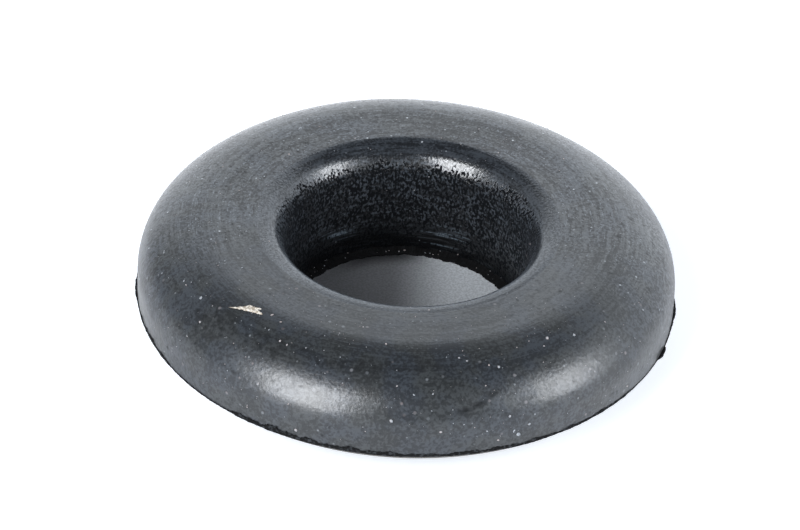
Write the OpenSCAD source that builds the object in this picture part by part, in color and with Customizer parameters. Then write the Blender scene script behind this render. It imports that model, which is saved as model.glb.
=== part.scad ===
// Moulded rubber ring grommet.
//
// The part is one revolved section: a flat top, a broad round shoulder, an upright land where the two
// halves of the mould meet, a shallow curved underside and a flat base. The straight bore opens at
// the top through a wide round lip, which meets the flat top at a crease. Two ribbons of flash were
// torn off roughly and still show: one around the parting line, and one around the foot of the bore.
//
// Millimetres, +Z up. The origin is on the axis of the bore, in the plane of the base.

/* [Body] */
// Diameter of the body at its widest, without flash
body_d = 38; // [36:0.5:50]
// Height from the flat base to the flat top
body_h = 8.6; // [7:0.1:12]
// Radius of the upper half of the shoulder, where it leaves the flat top
shoulder_upper_r = 6.2; // [3:0.1:7]
// Radius of the lower half of the shoulder, where it meets the wall
shoulder_lower_r = 3.4; // [2:0.1:5]
// Width of the flat ring that the part rests on, outwards from the bore
base_w = 4.35; // [2:0.05:4.5]

/* [Bore] */
// Diameter of the straight bore
bore_d = 17.4; // [14:0.1:21]
// Radius of the lower part of the lip, where it runs into the bore
lip_lower_r = 2; // [0.5:0.1:2]
// Radius of the upper part of the lip, where it leaves the flat top
lip_upper_r = 2.4; // [2:0.05:4]
// Angle from level at which the lip meets the flat top
crease_angle = 7; // [0:1:20]

/* [Parting line] */
// Height of the parting line above the base, at the top of the flash
parting_h = 3.2; // [2.4:0.1:3.8]
// Thickness of the flash left at the parting line
flash_t = 0.45; // [0.2:0.05:0.6]
// Least reach of that flash beyond the body
flash_reach = 0.07; // [0.02:0.01:0.2]
// Depth of the tears in it
flash_tear = 0.1; // [0:0.01:0.3]
// Extra reach of the largest burr
burr_reach = 0.35; // [0:0.05:0.6]

/* [Bore flash] */
// Thickness of the flash at the foot of the bore
bore_flash_t = 0.12; // [0.1:0.01:0.3]
// Mean reach of that flash into the bore
bore_flash_reach = 0.68; // [0.3:0.01:1.2]
// Depth of the tears in it
bore_flash_tear = 0.12; // [0:0.01:0.25]

/* [Hidden] */

body_r = body_d / 2;
bore_r = bore_d / 2;
base_r = bore_r + base_w;

// Each rounding is two arcs that share a tangent at this angle. Angles are those of the surface normal
// above level: 0 on an upright wall, 90 on the flat top.
turn = 45;

// The shoulder: the upper arc starts level at the flat top, the lower one ends upright at the wall.
// Together they may not reach down past the parting line.
shoulder_drop = shoulder_upper_r - (shoulder_upper_r - shoulder_lower_r) * sin(turn);
shoulder_fit = min(1, (body_h - parting_h) / shoulder_drop);
upper = shoulder_upper_r * shoulder_fit;
lower = shoulder_lower_r * shoulder_fit;
shoulder_lower_c = [body_r - lower, body_h - shoulder_drop * shoulder_fit];
shoulder_upper_c = [shoulder_lower_c.x - (upper - lower) * cos(turn), body_h - upper];

// The lip: the lower arc starts upright at the bore, the upper one ends at the crease.
lip_step = lip_upper_r - lip_lower_r;
lip_lower_x = bore_r + lip_lower_r;
lip_upper_c = [lip_lower_x + lip_step * cos(turn), body_h - lip_upper_r * cos(crease_angle)];
lip_lower_c = [lip_lower_x, lip_upper_c.y + lip_step * sin(turn)];

// The upright land starts a little below the flash, so that the flash has wall behind it.
land_foot = parting_h - flash_t - 0.1;

// The underside is an arc that leaves the base level and ends at the foot of the land.
under_run = body_r - base_r;
under_r = (under_run ^ 2 + land_foot ^ 2) / (2 * land_foot);

// How far the flash is buried in the body behind it
root = 0.8;
// Number of straight edges in each torn outline
tears = 150;
// A length that clears the section, for cutting
clear = body_d;

// Largest burrs on the parting line: angle from +X, half width in degrees, share of burr_reach
BURRS = [[-18, 2.6, 1], [-3, 6, 0.5], [184, 5, 0.35], [-62, 5, 0.25], [74, 6, 0.3]];
// Stretch where the flash came off flush with the body: angle from +X, half width in degrees
BARE = [-35, 8];

$fn = 96;

// A torn edge: waves whose counts around the ring share no factor, so no stretch looks like another.
// It runs from 0 to 1.
function torn(a, phase) =
  0.5 + 0.2 * sin(7 * a + phase) + 0.16 * sin(19 * a + 2 * phase) + 0.14 * sin(43 * a + 5 * phase);

// Smallest turn between two angles, 0 to 180 degrees
function apart(a, b) = abs((a - b + 900) % 360 - 180);

// A round hump: 1 at the middle angle and 0 from the half width on
function hump(a, middle, half) = max(0, 1 - (apart(a, middle) / half) ^ 2);

// Tallest burr at an angle, as a share of burr_reach
function burrs(a) = max([for (burr = BURRS) burr[2] * hump(a, burr[0], burr[1])]);

// Reach of the parting flash beyond the body at an angle. It sinks into the body where it tore off flush.
function parting_reach(a, burr, phase) =
  (flash_reach + flash_tear * torn(a, phase)) * (1 - 1.5 * hump(a, BARE[0], BARE[1])) + burr * burrs(a);

// Closed outline through the radii of one turn
function ring(radii) = [
  for (i = [0 : len(radii) - 1]) let (a = i * 360 / len(radii)) radii[i] * [cos(a), sin(a)]
];

// Everything outside one arc of a rounding, over a band of heights. side is 1 where the solid lies towards
// the bore, and -1 where it lies away from it.
module arc_waste(centre, radius, side, from, height) {
  difference() {
    translate([centre.x - (1 - side) / 2 * clear, from]) square([clear, height]);
    translate(centre) circle(radius);
  }
}

// Section below the curved underside
module underside_waste() {
  difference() {
    translate([base_r, -clear]) square([clear, clear + land_foot]);
    translate([base_r, under_r]) circle(under_r);
  }
}

// Half section of the ring, with radius along X and height along Y. The wide arc of a rounding passes
// outside the tight one, so its band runs on down past the tangent that they share, and no sliver of wall
// is left between the two cuts.
module section() {
  difference() {
    translate([bore_r, 0]) square([body_r - bore_r, body_h]);
    arc_waste(shoulder_upper_c, upper, 1, shoulder_lower_c.y, clear);
    arc_waste(shoulder_lower_c, lower, 1, shoulder_lower_c.y, lower * sin(turn));
    arc_waste(lip_upper_c, lip_upper_r, -1, lip_lower_c.y, clear);
    arc_waste(lip_lower_c, lip_lower_r, -1, lip_lower_c.y, lip_lower_r * sin(turn));
    underside_waste();
  }
}

// Ribbon of torn flash around the parting line, in two layers with tears of their own
module parting_flash() {
  layer = flash_t / 2;
  for (i = [0, 1])
    translate([0, 0, parting_h - flash_t + i * layer])
      linear_extrude(layer)
        difference() {
          polygon(ring([for (k = [0 : tears - 1])
            body_r + parting_reach(k * 360 / tears, burr_reach * (1 - i / 2), 40 + 90 * i)]));
          circle(body_r - root);
        }
}

// Thin ribbon of torn flash around the foot of the bore
module bore_flash() {
  linear_extrude(bore_flash_t)
    difference() {
      circle(bore_r + root);
      polygon(ring([for (k = [0 : tears - 1])
        bore_r - bore_flash_reach + bore_flash_tear * (torn(k * 360 / tears, 10) - 0.5)]));
    }
}

module grommet() {
  color("#34383c") {
    rotate_extrude() section();
    parting_flash();
    bore_flash();
  }
}

grommet();
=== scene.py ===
# %% [markdown]
# # A moulded rubber grommet
#
# The real part is one ring of carbon-black rubber, pressed in a two-part mould. It has a flat top with faint
# turned marks, a broad round shoulder, a ribbon of torn flash where the mould halves met, and a bore whose
# wall is pitted. A dull grey bloom and a little dust lie on the outside.
#
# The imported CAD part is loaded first. It is the fixed frame, so every surface below is worked out in metres
# in that same frame, with the axis of the bore along Z and the base at height 0.

# %% Load the frame and the tools
import math

import bmesh
import bpy
import numpy as np
from mathutils import Matrix, Vector
from mathutils.bvhtree import BVHTree


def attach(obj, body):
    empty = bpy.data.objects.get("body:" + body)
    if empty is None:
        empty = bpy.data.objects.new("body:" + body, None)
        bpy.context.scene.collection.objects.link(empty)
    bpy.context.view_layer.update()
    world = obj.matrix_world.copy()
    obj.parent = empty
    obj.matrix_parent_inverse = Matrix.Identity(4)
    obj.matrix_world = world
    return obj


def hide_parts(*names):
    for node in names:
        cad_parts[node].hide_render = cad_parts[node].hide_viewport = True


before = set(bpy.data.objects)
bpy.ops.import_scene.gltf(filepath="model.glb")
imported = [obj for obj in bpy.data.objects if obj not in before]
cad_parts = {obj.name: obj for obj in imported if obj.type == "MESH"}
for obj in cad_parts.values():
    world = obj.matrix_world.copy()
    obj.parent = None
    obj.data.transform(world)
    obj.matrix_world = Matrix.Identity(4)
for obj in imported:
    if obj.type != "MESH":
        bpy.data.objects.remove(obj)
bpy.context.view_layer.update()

MM = 0.001

# %% [markdown]
# ## Surfaces as grids
#
# Every surface here is a grid of points: rows along its section, columns around the axis. It could be a drawn
# outline with a Screw modifier, but an array of points is easier to give tears and waves to, and the same few
# lines then make every piece.

# %% Faces of a grid
def grid_faces(rows, columns, capped):
    """Four-sided faces between the points of a grid that are numbered row by row, one for each of its cells.

    The last column joins the first. The last row joins the first too, unless the surface is capped.
    """
    number = np.arange(rows * columns).reshape(rows, columns)
    below = np.roll(number, -1, axis=0)
    if capped:
        number, below = number[:-1], below[:-1]
    faces = np.stack([number, below, np.roll(below, -1, axis=1), np.roll(number, -1, axis=1)], axis=-1)
    return faces.reshape(-1, 4)


print(f"a capped grid of 3 by 4 points has {len(grid_faces(3, 4, capped=True))} faces")

# %% Meshes and pieces
SAME_POINT = 1e-8


def new_mesh(name, points, faces):
    """Mesh of the given points and faces."""
    mesh = bpy.data.meshes.new(name)
    mesh.from_pydata(points.reshape(-1, 3).tolist(), [], faces.tolist())
    return mesh


def close_mesh(mesh):
    """Merges the points that agree, and turns all faces outwards."""
    solid = bmesh.new()
    solid.from_mesh(mesh)
    bmesh.ops.remove_doubles(solid, verts=solid.verts, dist=SAME_POINT)
    bmesh.ops.recalc_face_normals(solid, faces=solid.faces)
    solid.to_mesh(mesh)
    solid.free()


def put_in_scene(name, data):
    """Object that shows a mesh, a camera or a lamp."""
    made = bpy.data.objects.new(name, data)
    bpy.context.collection.objects.link(made)
    return made


def grid_piece(name, points, capped=False):
    """Smooth piece through a grid of points, shape (rows, columns, 3).

    If it is capped, all the points of an end row agree, and they are merged into one.
    """
    mesh = new_mesh(name, points, grid_faces(*points.shape[:2], capped))
    if capped:
        close_mesh(mesh)
    mesh.shade_smooth()
    print(f"{name}: {len(mesh.vertices)} points, {2 * len(mesh.polygons)} triangles")
    return put_in_scene(name, mesh)


# %% [markdown]
# ## The section
#
# The shape is a body of revolution, so one closed outline in radius and height says nearly all of it. The
# outline goes up the bore, over the lip, out across the flat top, down the shoulder and the wall, and back
# under. A Bevel modifier would round each edge with one radius. Here each rounding is two arcs that share a
# tangent at 45 degrees, because that is what sets how wide the highlights are. Rows lie close together where
# the surface bends and shows, and further apart on the hidden underside.

# %% Sizes of the ring
BODY_R = 19.0 * MM
BODY_H = 8.6 * MM
SHOULDER_UPPER_R = 6.2 * MM
SHOULDER_LOWER_R = 3.4 * MM
BASE_R = 13.05 * MM
BORE_R = 8.7 * MM
LIP_LOWER_R = 2.0 * MM
LIP_UPPER_R = 2.4 * MM
CREASE_ANGLE = math.radians(7)
TANGENT_ANGLE = math.radians(45)
# The CAD part's flash goes from the parting line down by its thickness, and the upright land starts below it.
PARTING_H = 3.2 * MM
FLASH_T = 0.45 * MM
LAND_BELOW_FLASH = 0.1 * MM
LAND_FOOT = PARTING_H - FLASH_T - LAND_BELOW_FLASH

# Centres of the arcs, as radius and height. The one of the underside is straight above the edge of the base.
shoulder_step = SHOULDER_UPPER_R - SHOULDER_LOWER_R
shoulder_lower_c = np.array([
    BODY_R - SHOULDER_LOWER_R, BODY_H - SHOULDER_UPPER_R + shoulder_step * math.sin(TANGENT_ANGLE)])
shoulder_upper_c = np.array([
    shoulder_lower_c[0] - shoulder_step * math.cos(TANGENT_ANGLE), BODY_H - SHOULDER_UPPER_R])
lip_step = LIP_UPPER_R - LIP_LOWER_R
lip_upper_c = np.array([
    BORE_R + LIP_LOWER_R + lip_step * math.cos(TANGENT_ANGLE), BODY_H - LIP_UPPER_R * math.cos(CREASE_ANGLE)])
lip_lower_c = np.array([BORE_R + LIP_LOWER_R, lip_upper_c[1] + lip_step * math.sin(TANGENT_ANGLE)])
under_c = np.array([BASE_R, ((BODY_R - BASE_R) ** 2 + LAND_FOOT ** 2) / (2 * LAND_FOOT)])
crease_r = lip_upper_c[0] - LIP_UPPER_R * math.sin(CREASE_ANGLE)
print(f"flat top from radius {crease_r / MM:.2f} to {shoulder_upper_c[0] / MM:.2f} mm")


# %% Outline of the section
def arc(centre, radius, start, end, step):
    """Points on an arc: centre + radius * (cos a, sin a), with a going evenly from start to end."""
    count = max(2, round(abs(end - start) * radius / step))
    a = np.linspace(start, end, count, endpoint=False)[:, None]
    return centre + radius * np.hstack([np.cos(a), np.sin(a)])


def straight(start, end, step):
    """Evenly spaced points from start to just before end."""
    start, end = np.array(start), np.array(end)
    count = max(2, round(float(np.linalg.norm(end - start)) / step))
    return start + (end - start) * np.linspace(0, 1, count, endpoint=False)[:, None]


# Distance between rows on the lip, the land, the lower shoulder, the top, the bore wall and out of sight
LIP_GAP, LAND_GAP, LOWER_GAP, TOP_GAP, BORE_GAP, HIDDEN_GAP = (
    gap * MM for gap in (0.1, 0.15, 0.16, 0.2, 0.24, 0.45))
# Directions that the surface faces, as angles from straight out
FACING_UP, FACING_IN, FACING_DOWN = math.pi / 2, math.pi, -math.pi / 2
under_end = math.atan2(LAND_FOOT - under_c[1], BODY_R - BASE_R)
section = np.vstack([
    straight((BORE_R, 0), (BORE_R, lip_lower_c[1]), BORE_GAP),
    arc(lip_lower_c, LIP_LOWER_R, FACING_IN, FACING_IN - TANGENT_ANGLE, LIP_GAP),
    arc(lip_upper_c, LIP_UPPER_R, FACING_IN - TANGENT_ANGLE, FACING_UP + CREASE_ANGLE, LIP_GAP),
    straight((crease_r, BODY_H), (shoulder_upper_c[0], BODY_H), TOP_GAP),
    arc(shoulder_upper_c, SHOULDER_UPPER_R, FACING_UP, TANGENT_ANGLE, TOP_GAP),
    arc(shoulder_lower_c, SHOULDER_LOWER_R, TANGENT_ANGLE, 0, LOWER_GAP),
    straight((BODY_R, shoulder_lower_c[1]), (BODY_R, LAND_FOOT), LAND_GAP),
    arc(under_c, under_c[1], under_end, FACING_DOWN, HIDDEN_GAP),
    straight((BASE_R, 0), (BORE_R, 0), HIDDEN_GAP),
])
print(f"{len(section)} rows in the section")

# %% [markdown]
# ## The moulded ring
#
# A pressed rubber ring is never quite round: it took up small waves as it cooled and was pulled from the
# mould, and the near side of its lip came out a little fuller than the far side. A Displace modifier could
# push the surface in and out too, but here the flat top may rise by no more than a fiftieth of a millimetre,
# so that the ring keeps its height. The waves are a sum of cosines whose counts around the ring and along the
# section are whole numbers, so the surface closes without a seam. The fuller lip is a bell curve across the
# lip times a round hump around it.

# %% Shapes of waves, bells and humps
COLUMNS = 640


def waves(around, along, count, dice):
    """Sum of cosines, about -1 to 1: cos(n * around + m * along + phase), n and m whole, slow ones taller."""
    n = dice.integers(1, 9, count)
    m = dice.integers(-4, 5, count)
    phase = dice.uniform(0, 2 * np.pi, count)
    height = 1 / (1 + 0.5 * np.hypot(n, m))
    terms = height * np.cos(n * around[..., None] + m * along[..., None] + phase)
    return terms.sum(-1) / height.sum() * 2


def smooth_step(x, low, high):
    """0 below low, 1 above high, and 3t^2 - 2t^3 between them."""
    t = np.clip((x - low) / (high - low), 0, 1)
    return t * t * (3 - 2 * t)


def bell(x, middle, width):
    """A bell curve: 1 at the middle, and e ^ -((x - middle) / width)^2 beside it."""
    return np.exp(-((x - middle) / width) ** 2)


def hump(around, middle, half):
    """A round hump: 1 - (turn from middle / half)^2, and never below 0, with middle and half in degrees."""
    apart = np.abs((np.degrees(around) - middle + 540) % 360 - 180)
    return np.clip(1 - (apart / half) ** 2, 0, None)


def section_normals(outline):
    """Unit normals of a closed outline, from the chord between each point's neighbours, turned outwards."""
    chord = np.roll(outline, -1, axis=0) - np.roll(outline, 1, axis=0)
    normal = np.stack([-chord[:, 1], chord[:, 0]], axis=-1)
    return normal / np.linalg.norm(normal, axis=1, keepdims=True)


def revolve(radius, height, around):
    """Points of a turned surface: (radius cos a, radius sin a, height)."""
    return np.stack([radius * np.cos(around), radius * np.sin(around), height], axis=-1)


print(f"{COLUMNS} columns, {2 * np.pi * BODY_R / COLUMNS / MM:.2f} mm apart at the widest")

# %% Body surface
WAVE_DEPTH, WAVE_COUNT = 0.025 * MM, 14
# The waves fade out towards the base, and they lift the top by no more than this.
WAVE_START, WAVE_FULL, WAVE_LIFT = 0.2 * MM, 1.5 * MM, 0.02 * MM
# The fuller lip: its depth, radius and width, and the middle and half width of its hump in degrees
SWELL_DEPTH, SWELL_R, SWELL_WIDTH = 0.16 * MM, 9.55 * MM, 0.55 * MM
SWELL_MIDDLE, SWELL_HALF = -105, 145
# The swell is only above this height.
SWELL_FOOT = 6 * MM
dice = np.random.default_rng(7)

around, along = np.meshgrid(
    np.linspace(0, 2 * np.pi, COLUMNS, endpoint=False),
    np.linspace(0, 2 * np.pi, len(section), endpoint=False))
row_r, row_z = section[:, :1], section[:, 1:]
normals = section_normals(section)
normal_r, normal_z = normals[:, :1], normals[:, 1:]
depth = WAVE_DEPTH * waves(around, along, WAVE_COUNT, dice)
depth *= smooth_step(row_z, WAVE_START, WAVE_FULL)
swell = SWELL_DEPTH * bell(row_r, SWELL_R, SWELL_WIDTH) * (row_z > SWELL_FOOT)
swell = swell * hump(around, SWELL_MIDDLE, SWELL_HALF)
radius = row_r + (depth + swell) * normal_r
height = row_z + np.minimum(depth * normal_z, WAVE_LIFT) + swell * normal_z
body = grid_piece("moulded_ring", revolve(radius, height, around))

# %% [markdown]
# ## Zones of the ring
#
# One rubber looks different from place to place: turned on top, pitted in the bore, paler on the near rim,
# partly from scuffs and partly as a painted highlight, and black below the flash as painted shade. Separate
# pieces would show seams between them, and a painted map would be an image. So each point of the mesh carries
# some numbers,
# 0 to 1, one for each zone, and the finishes read them by name.
# The change at the crease is sharp on the real ring, so there each face takes one of two materials.

# %% Zones
# Heights at which the lip and the turned marks start, and at which the marks are at their full strength
LIP_FOOT, TURNED_FULL = 6.5 * MM, 8.3 * MM
# How far the two near zones are turned to their sides
LEFT_SHARE, RIGHT_SHARE = 0.35, 0.25
# The paler rim, partly scuffed and partly a painted highlight: distance out from the bore, how much of that
# is lost at the left and right, and width
RIM_OUT, RIM_LOST, RIM_WIDTH = 0.95 * MM, 0.6 * MM, 0.26 * MM
# The duller lip: its strength over most of its width, and the distance out and width of its dullest line
DULL_MOST, DULL_OUT, DULL_WIDTH = 0.42, 1.75 * MM, 0.25 * MM


def point_attribute(piece, name, values):
    """Stores one number for each point of a mesh, which a material reads by name."""
    layer = piece.data.attributes.new(name, "FLOAT", "POINT")
    layer.data.foreach_set("value", np.ascontiguousarray(values, dtype=np.float32).ravel())


to_right, to_back = np.cos(around), np.sin(around)
beside = smooth_step(np.abs(to_right), 0.8, 1)
near_left = smooth_step(-to_back - LEFT_SHARE * to_right, -0.35, 0.5)
near_right = smooth_step(-to_back + RIGHT_SHARE * to_right, 0.35, 0.85)
on_lip = row_z > LIP_FOOT
lip_out = row_r - BORE_R
dullness = np.maximum(
    DULL_MOST * smooth_step(lip_out, 0.5 * MM, 0.9 * MM), bell(lip_out, DULL_OUT, DULL_WIDTH))
zone_values = {
    # The bore wall, and a little more of the lip at the left and the right
    "wall": 1 - smooth_step(row_r, BORE_R + 0.3 * MM * beside, BORE_R + (0.8 + 0.4 * beside) * MM),
    # The foot of that wall, which the inner colour darkens as painted shade
    "foot": 1 - smooth_step(row_z, 1.2 * MM, 3.2 * MM),
    # The underside, which starts at the foot of the land, and whose bare black is painted shade
    "under": 1 - smooth_step(row_z, LAND_FOOT - 0.05 * MM, LAND_FOOT + 0.05 * MM),
    # The top and the upper shoulder, where the mould was turned
    "turned": smooth_step(row_z, LIP_FOOT, TURNED_FULL),
    # The half away from the camera, and the right-hand side
    "far": smooth_step(to_back, -0.6, 0.05),
    "right": smooth_step(to_right, 0.2, 0.9),
    # The paler rim of the bore on the near left, partly scuffed and partly a painted highlight, and the dull
    # lip on the near right
    "rim_scuff_and_highlight": bell(row_r, BORE_R + RIM_OUT - RIM_LOST * beside, RIM_WIDTH) * on_lip * near_left,
    "dull": dullness * on_lip * near_right,
}
for name, values in zone_values.items():
    point_attribute(body, name, np.broadcast_to(values, around.shape))

inside_rows = int(np.argmax(section[:, 0] >= crease_r - SAME_POINT))
finish_of_face = np.zeros(len(section) * COLUMNS, dtype=np.int32)
finish_of_face[:inside_rows * COLUMNS] = 1
body.data.polygons.foreach_set("material_index", finish_of_face)
print(f"{len(zone_values)} zones; {inside_rows} of {len(section)} rows are inside the crease")

# %% [markdown]
# ## The torn flash
#
# Rubber squeezed out between the mould halves as a thin sheet, and it was torn off by hand. What is left is a
# black ribbon with a ragged edge. It could be a row of teeth, but a tear has no teeth: it wanders slowly, and
# small nicks ride on that. So its reach and its thickness are each a slow wave plus finer ones, with the few
# large burrs and thick stretches added as humps.

# %% Tear patterns
FLASH_COLUMNS = 1800
turn = np.linspace(0, 2 * np.pi, FLASH_COLUMNS, endpoint=False)


def humps(around, table):
    """The tallest of several humps at each angle, each given by its middle, half width and height."""
    return np.max([tall * hump(around, middle, half) for middle, half, tall in table], axis=0)


def ragged(around, slowest, octaves, dice):
    """Sum of cosines, -1 to 1. Each has about twice the count and 0.7 of the height of the one before."""
    counts = slowest * 2.0 ** np.arange(octaves) + dice.integers(0, 5, octaves)
    heights = 0.7 ** np.arange(octaves)
    phases = dice.uniform(0, 2 * np.pi, octaves)
    return (heights * np.cos(np.round(counts) * around[:, None] + phases)).sum(1) / heights.sum()


def rough_rows(columns, rows, dice):
    """Random bumps, up to 1.5 either way: half the sum of three neighbours around the ring."""
    bumps = dice.uniform(-1, 1, (rows, columns))
    return (bumps + np.roll(bumps, 1, 1) + np.roll(bumps, 2, 1)) / 2


print(f"{FLASH_COLUMNS} columns, {360 / FLASH_COLUMNS} degrees apart")

# %% Flash at the parting line
FLASH_REACH, FLASH_TEAR, BURR_REACH = 0.07 * MM, 0.1 * MM, 0.24 * MM
FLASH_ROOT = 0.7 * MM
FLASH_ROUGH = 0.02 * MM
# Shares of the full thickness: between the thick stretches, at the thinnest and at the thickest
THIN, THINNEST, THICKEST = 0.12, 0.08, 1.15
# Burrs and thick stretches: middle and half width in degrees, and share of the full reach or thickness
BURRS = [(-18, 2.6, 1.0), (-3, 6, 0.5), (184, 5, 0.35), (-62, 5, 0.25), (74, 6, 0.3)]
THICK = [
    (-116, 15, 0.55), (-96, 22, 0.42), (-72, 24, 0.3), (-50, 24, 0.26), (-157, 13, 0.4), (178, 16, 0.3),
    (-3, 14, 0.35), (40, 40, 0.5), (120, 45, 0.5)]
# The torn face has this many rows, and its edges lie back by this share of the reach.
FACE_ROWS, FACE_ROUNDING = 8, 0.35

share = THIN + humps(turn, THICK) * (1 + 0.8 * ragged(turn, 40, 6, dice)) + 0.1 * ragged(turn, 9, 6, dice)
share = np.clip(share, THINNEST, THICKEST)
reach = (FLASH_REACH + FLASH_TEAR * (0.5 + 0.5 * ragged(turn, 7, 8, dice))) * np.clip(share, 0.25, 1)
reach += BURR_REACH * humps(turn, BURRS) * (1 + 0.3 * ragged(turn, 60, 4, dice))
bottom = LAND_FOOT + FLASH_ROUGH * ragged(turn, 23, 7, dice)
top = bottom + (PARTING_H - LAND_FOOT) * share
down = np.linspace(0, 1, FACE_ROWS)[:, None]
bulge = 1 - FACE_ROUNDING * np.abs(2 * down - 1) ** 3
face_radius = BODY_R + reach * bulge + FLASH_ROUGH * rough_rows(FLASH_COLUMNS, FACE_ROWS, dice)
root_radius = np.full((1, FLASH_COLUMNS), BODY_R - FLASH_ROOT)
flash_radius = np.vstack([root_radius, face_radius, root_radius])
flash_height = np.vstack([top, top + (bottom - top) * down, bottom])
parting_flash = grid_piece("parting_flash", revolve(flash_radius, flash_height, turn))

# %% [markdown]
# ## Flash in the bore
#
# A second ribbon, thin as paper, lies around the foot of the bore. Its edge could be cut from a flat disc,
# but it grows out of the wall with a soft fillet. So it is a section of seven points, whose reach into the
# bore wanders slowly, with fine nicks of its own.

# %% Flash at the foot of the bore
BORE_FLASH_T, BORE_FLASH_REACH = 0.12 * MM, 0.68 * MM
BORE_FLASH_TEAR, BORE_FLASH_NICK, BORE_FLASH_ROUGH = 0.1 * MM, 0.085 * MM, 0.02 * MM
BORE_FLASH_ROOT = 0.3 * MM
nick_dice = np.random.default_rng(3)

edge_r = BORE_R - BORE_FLASH_REACH + BORE_FLASH_TEAR * ragged(turn, 11, 8, dice)
edge_r += BORE_FLASH_NICK * ragged(turn, 37, 5, nick_dice)
ledge_t = BORE_FLASH_T * (1 + 0.5 * ragged(turn, 17, 7, dice))
ledge_middle = ledge_t * 1.2 + BORE_FLASH_ROUGH * ragged(turn, 31, 6, dice)
root_r, wall_r = (np.full(FLASH_COLUMNS, BORE_R + out) for out in (BORE_FLASH_ROOT, -0.05 * MM))
# Radius and height of each row, from the root in the wall over the fillet to the torn edge, and back below it
ledge_rows = (
    (root_r, ledge_t * 3), (wall_r, ledge_t * 2.4), ((edge_r + BORE_R) / 2, ledge_middle),
    (edge_r + 0.05 * MM, ledge_t), (edge_r, ledge_t * 0.7), (edge_r, ledge_t * 0.05),
    (root_r, ledge_t * 0.05))
ledge_radius, ledge_height = zip(*ledge_rows[::-1])
bore_flash = grid_piece("bore_flash", revolve(np.vstack(ledge_radius), np.vstack(ledge_height), turn))

# %% [markdown]
# ## The camera
#
# The camera stands in front of the ring on the -Y side and looks down on it through a long lens, so the
# ring's circles show as nearly true ellipses. It could be aimed with a Track To constraint, but three small
# turns say exactly how it is held. It is made before the dust, because the largest specks are placed by where
# they show in its frame.

# %% Camera
FRAME_W, FRAME_H = 800, 530
SENSOR_MM, LENS_MM = 36.0, 225.0
CAMERA_DISTANCE = 0.3561
CAMERA_ELEVATION = 36.54
PAN, TILT, ROLL = math.radians(-0.0775), math.radians(0.638), math.radians(2.89)


def toward(azimuth, elevation):
    """Direction from the ring to what stands at an azimuth from the camera's side, right positive.

    It is (sin a cos e, -cos a cos e, sin e), with both angles given in degrees.
    """
    a, e = math.radians(azimuth), math.radians(elevation)
    return Vector((math.sin(a) * math.cos(e), -math.cos(a) * math.cos(e), math.sin(e)))


def turned_towards(first, second, angle):
    """Two axes turned together, the first towards the second: (f cos a + s sin a, s cos a - f sin a)."""
    return (first * math.cos(angle) + second * math.sin(angle),
            second * math.cos(angle) - first * math.sin(angle))


forward = -toward(0, CAMERA_ELEVATION)
right = Vector((1, 0, 0))
up = right.cross(forward)
forward, right = turned_towards(forward, right, PAN)
forward, up = turned_towards(forward, up, TILT)
right, up = turned_towards(right, up, ROLL)
eye = toward(0, CAMERA_ELEVATION) * CAMERA_DISTANCE
camera = put_in_scene("camera", bpy.data.cameras.new("camera"))
camera.data.sensor_width = SENSOR_MM
camera.data.lens = LENS_MM
camera.data.clip_start, camera.data.clip_end = 0.01, 10
camera.matrix_world = Matrix.Translation(eye) @ Matrix((right, up, -forward)).transposed().to_4x4()
bpy.context.scene.camera = camera
print(f"camera {CAMERA_DISTANCE / MM:.0f} mm from the ring")

# %% [markdown]
# ## Worn places
#
# The near shoulder is rougher in a few places, and one dark smear crosses it where the bloom was rubbed off.
# In the far wall of the bore lie patches of deeper pits and two bands of scores, whose glints are painted in
# a pale colour. They could be painted by hand, but ovals in the camera's frame are quicker to move. Each
# point is told how deep it lies in them.

# %% Worn places
# Ovals: middle in the frame, half length and half width in pixels, turn in degrees
PITTED = [(215, 325, 42, 24, 30), (275, 346, 48, 17, 14), (400, 366, 110, 11, 0)]
SMEARED = [(465, 411, 13, 3.5, -15), (480, 404, 14, 4, -28), (494, 394, 12, 3.5, -40)]
PITTED_INSIDE = [(383, 165, 18, 11, 0), (515, 199, 28, 14, 35), (486, 187, 12, 8, 30), (302, 190, 9, 16, 20)]
# The two bands of scores, on which pale glints are painted
GLINTING_SCORES = [(337, 233, 24, 8, -6), (444, 237, 30, 13, 10)]


def frame_places(points):
    """Where points show: middle of the frame + focal length * (sideways, -upwards) / depth, in pixels."""
    seen = points - np.array(eye)
    focal = LENS_MM / SENSOR_MM * FRAME_W
    ahead = seen @ np.array(forward)
    x = FRAME_W / 2 + focal * (seen @ np.array(right)) / ahead
    y = FRAME_H / 2 - focal * (seen @ np.array(up)) / ahead
    return x, y


def in_ovals(x, y, ovals):
    """1 in the middle of an oval and 0 from its edge on: 1 - (along / length)^2 - (across / width)^2."""
    deepest = np.zeros_like(x)
    for middle_x, middle_y, length, width, slant in ovals:
        t = math.radians(slant)
        along = (x - middle_x) * math.cos(t) + (y - middle_y) * math.sin(t)
        across = (y - middle_y) * math.cos(t) - (x - middle_x) * math.sin(t)
        deepest = np.maximum(deepest, 1 - (along / length) ** 2 - (across / width) ** 2)
    return deepest


body_points = np.empty((len(body.data.vertices), 3), dtype=np.float32)
body.data.vertices.foreach_get("co", body_points.reshape(-1))
body_points = body_points.astype(float)
body_x, body_y, body_z = body_points.T
frame_x, frame_y = frame_places(body_points)
near_outside = (body_z > PARTING_H) & (body_y < 0)
far_inside = (np.hypot(body_x, body_y) < crease_r) & (body_y > 0)
for name, ovals, where in (
        ("pitted", PITTED, near_outside), ("smeared", SMEARED, near_outside),
        ("pitted_inside", PITTED_INSIDE, far_inside), ("glinting_scores", GLINTING_SCORES, far_inside)):
    wear = in_ovals(frame_x, frame_y, ovals) * where
    point_attribute(body, name, wear)
    print(f"{name}: {int((wear > 0).sum())} points")

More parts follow.
